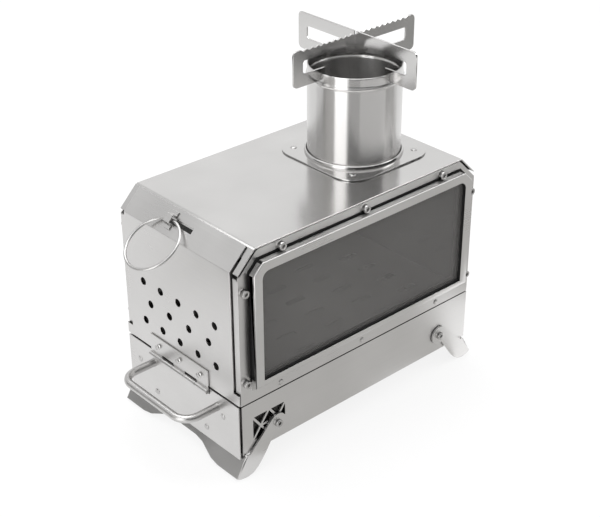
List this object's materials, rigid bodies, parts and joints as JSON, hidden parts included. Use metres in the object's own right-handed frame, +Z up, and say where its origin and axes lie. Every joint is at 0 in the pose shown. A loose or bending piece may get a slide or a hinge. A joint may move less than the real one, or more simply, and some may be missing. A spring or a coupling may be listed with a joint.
{
  "type": "tent wood stove",
  "caption": "Portable sheet-steel wood stove with glass sides, fuel door, ash drawer, folding legs, flue collar and cross-shaped pot stand.",
  "frame": {"origin": "on the ground, under the middle of the overall length and width", "axes": "+X along the glass sides from the fuel door to the flue end, +Y across to the back glass, +Z up"},
  "size_m": [0.2942, 0.1554, 0.2964],
  "materials": {
    "sheet_steel": "fine brushed stainless sheet, satin",
    "inner_steel": "mill-finish stainless sheet, darker for being inside",
    "turned_steel": "polished stainless tube and wire",
    "fastener_steel": "plain stainless fasteners",
    "window_glass": "clear heat-proof glass over a dark inside",
    "window_seal": "matt black heat-proof seal"
  },
  "bodies": {
    "firebox": {"body_shell": "sheet_steel", "front_side_panel": "sheet_steel", "back_side_panel": "sheet_steel", "front_inner_frame": "inner_steel", "back_inner_frame": "inner_steel", "front_window_seal": "window_seal", "back_window_seal": "window_seal", "front_window_glass": "window_glass", "back_window_glass": "window_glass", "front_panel_screw_1": "fastener_steel", "front_panel_screw_2": "fastener_steel", "front_panel_screw_3": "fastener_steel", "front_panel_screw_4": "fastener_steel", "front_panel_screw_5": "fastener_steel", "front_panel_screw_6": "fastener_steel", "front_panel_screw_7": "fastener_steel", "back_panel_screw_1": "fastener_steel", "back_panel_screw_2": "fastener_steel", "back_panel_screw_3": "fastener_steel", "back_panel_screw_4": "fastener_steel", "back_panel_screw_5": "fastener_steel", "back_panel_screw_6": "fastener_steel", "back_panel_screw_7": "fastener_steel", "grate": "inner_steel", "sill_hinge_leaf": "sheet_steel", "door_sill": "sheet_steel", "base_shell": "sheet_steel", "leg_screw_1": "fastener_steel", "leg_screw_2": "fastener_steel", "leg_screw_3": "fastener_steel", "leg_screw_4": "fastener_steel", "collar_plate": "sheet_steel", "collar_rivet_1": "fastener_steel", "collar_rivet_2": "fastener_steel", "collar_rivet_3": "fastener_steel", "collar_rivet_4": "fastener_steel", "collar_ring": "turned_steel", "collar_tube": "turned_steel"},
    "door": {"door_panel": "sheet_steel", "door_hinge_leaf": "sheet_steel", "door_hinge_pin": "fastener_steel", "ring_bridge": "sheet_steel"},
    "ring": {"pull_ring": "turned_steel"},
    "drawer": {"drawer_front": "sheet_steel", "drawer_tray": "inner_steel", "drawer_rivet_1": "fastener_steel", "drawer_rivet_2": "fastener_steel", "drawer_rivet_3": "fastener_steel", "drawer_rivet_4": "fastener_steel", "drawer_handle": "turned_steel", "handle_screw_1": "fastener_steel", "handle_screw_2": "fastener_steel"},
    "left_support": {"left_leg": "sheet_steel"},
    "right_support": {"right_leg": "sheet_steel"},
    "stand_base": {"stand_lower_plate": "sheet_steel"},
    "stand_cap": {"stand_upper_plate": "sheet_steel"}
  },
  "joints": [
    {"name": "door_swing", "type": "hinge", "parent": "firebox", "child": "door", "pos_m": [-0.11392, 0, 0.0626], "axis": [0, -1, 0], "range_deg": [0, 90]},
    {"name": "ring_swing", "type": "hinge", "parent": "door", "child": "ring", "pos_m": [-0.10445, 0.011, 0.18919], "axis": [0, 1, 0], "range_deg": [-12, 110]},
    {"name": "drawer_slide", "type": "slide", "parent": "firebox", "child": "drawer", "axis": [-1, 0, 0], "range_m": [0, 0.2]},
    {"name": "left_leg_fold", "type": "hinge", "parent": "firebox", "child": "left_support", "pos_m": [-0.07642, 0, 0.036], "axis": [0, -1, 0], "range_deg": [0, 110]},
    {"name": "right_leg_fold", "type": "hinge", "parent": "firebox", "child": "right_support", "pos_m": [0.10558, 0, 0.036], "axis": [0, 1, 0], "range_deg": [0, 110]},
    {"name": "stand_base_lift", "type": "slide", "parent": "firebox", "child": "stand_base", "axis": [0, 0, 1], "range_m": [0, 0.06]},
    {"name": "stand_cap_lift", "type": "slide", "parent": "stand_base", "child": "stand_cap", "axis": [0, 0, 1], "range_m": [0, 0.06]}
  ]
}
